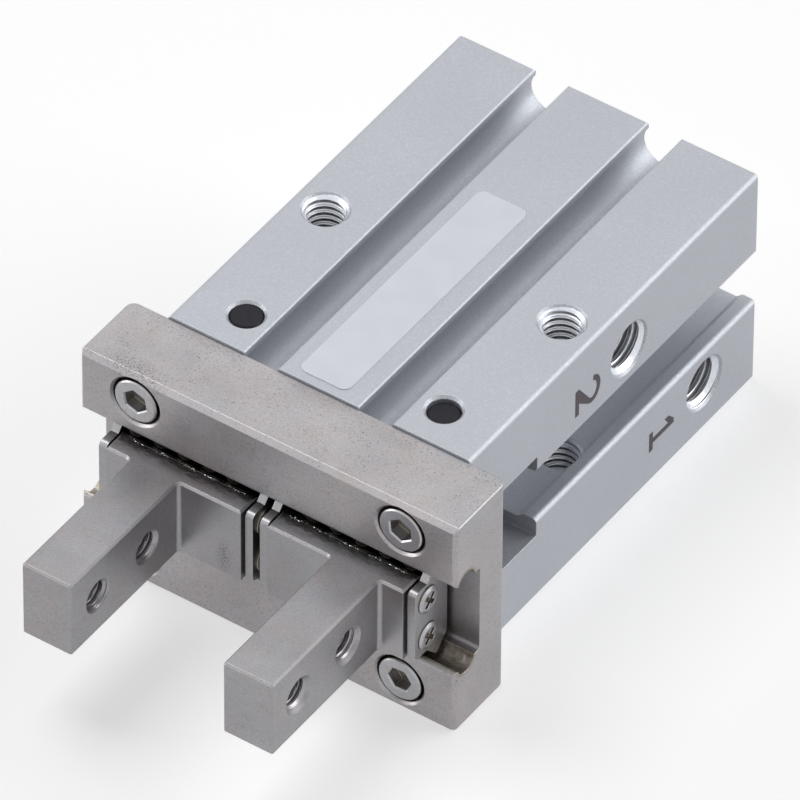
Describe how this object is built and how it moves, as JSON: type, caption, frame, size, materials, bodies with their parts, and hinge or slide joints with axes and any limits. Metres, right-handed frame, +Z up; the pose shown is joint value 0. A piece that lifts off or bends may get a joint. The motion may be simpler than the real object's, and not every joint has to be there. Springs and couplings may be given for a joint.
{
  "type": "pneumatic parallel gripper",
  "caption": "Air-driven parallel gripper: slotted aluminium body, steel guide rail and sliding steel jaws moved apart and together by levers from a piston.",
  "frame": {"origin": "centre of the rear face, at the mouth of the pilot recess", "axes": "+Y is the long axis, pointing backwards out of the rear face, so the jaws point along -Y; +X is the side with the air ports, along the jaws' travel; +Z is up"},
  "size_m": [0.038, 0.0673, 0.0237],
  "materials": {
    "anodised_alloy": "blasted and clear anodised",
    "guide_steel": "ground stainless steel with brown specks",
    "jaw_steel": "ground stainless steel",
    "plate_steel": "pressed stainless sheet",
    "screw_steel": "stainless screws",
    "shaft_steel": "blackened pin",
    "ball_steel": "polished bearing steel",
    "lever_steel": "hardened stainless steel",
    "piston_alloy": "turned",
    "cap_alloy": "turned, clear anodised",
    "ring_steel": "phosphated spring steel",
    "seal_rubber": "nitrile rubber",
    "bumper_rubber": "urethane",
    "magnet_rubber": "rubber-bonded magnet",
    "label_film": "blank silver film"
  },
  "bodies": {
    "housing": {"body": "anodised_alloy", "guide": "guide_steel", "guide_screws": "screw_steel", "lever_shaft_right": "shaft_steel", "lever_shaft_left": "shaft_steel", "end_cap": "cap_alloy", "cap_gasket": "seal_rubber", "retaining_ring": "ring_steel", "rod_seal": "seal_rubber", "seal_support": "cap_alloy", "front_bumper": "bumper_rubber", "rear_bumper": "bumper_rubber", "label": "label_film"},
    "piston": {"piston": "piston_alloy", "rod_pin": "screw_steel", "piston_seal": "seal_rubber", "magnet": "magnet_rubber"},
    "jaw_right": {"jaw_right": "jaw_steel", "stop_plate_inner_right": "plate_steel", "stop_plate_outer_right": "plate_steel", "plate_screws_inner_right": "screw_steel", "plate_screws_outer_right": "screw_steel"},
    "balls_right": {"balls_upper_right": "ball_steel", "balls_lower_right": "ball_steel"},
    "lever_right": {"lever_right": "lever_steel"},
    "jaw_left": {"jaw_left": "jaw_steel", "stop_plate_inner_left": "plate_steel", "stop_plate_outer_left": "plate_steel", "plate_screws_inner_left": "screw_steel", "plate_screws_outer_left": "screw_steel"},
    "balls_left": {"balls_upper_left": "ball_steel", "balls_lower_left": "ball_steel"},
    "lever_left": {"lever_left": "lever_steel"}
  },
  "joints": [
    {"name": "jaw_right_slide", "type": "slide", "parent": "housing", "child": "jaw_right", "axis": [1, 0, 0], "range_m": [0, 0.003]},
    {"name": "jaw_left_slide", "type": "slide", "parent": "housing", "child": "jaw_left", "axis": [-1, 0, 0], "range_m": [0, 0.003]},
    {"name": "balls_right_roll", "type": "slide", "parent": "housing", "child": "balls_right", "axis": [1, 0, 0], "range_m": [0, 0.0015]},
    {"name": "balls_left_roll", "type": "slide", "parent": "housing", "child": "balls_left", "axis": [-1, 0, 0], "range_m": [0, 0.0015]},
    {"name": "lever_right_turn", "type": "hinge", "parent": "housing", "child": "lever_right", "pos_m": [0.01, -0.03885, 0], "axis": [0, 0, 1], "range_deg": [0, 18.07]},
    {"name": "lever_left_turn", "type": "hinge", "parent": "housing", "child": "lever_left", "pos_m": [-0.01, -0.03885, 0], "axis": [0, 0, -1], "range_deg": [0, 18.07]},
    {"name": "piston_slide", "type": "slide", "parent": "housing", "child": "piston", "axis": [0, -1, 0], "range_m": [0, 0.00318]}
  ],
  "couplings": [
    {"joint": "jaw_left_slide", "follows": "jaw_right_slide", "ratio": 1},
    {"joint": "balls_right_roll", "follows": "jaw_right_slide", "ratio": 0.5},
    {"joint": "balls_left_roll", "follows": "jaw_right_slide", "ratio": 0.5},
    {"joint": "lever_right_turn", "follows": "jaw_right_slide", "rad_per_m": 105.15},
    {"joint": "lever_left_turn", "follows": "jaw_right_slide", "rad_per_m": 105.15},
    {"joint": "piston_slide", "follows": "jaw_right_slide", "ratio": 1.0603}
  ]
}
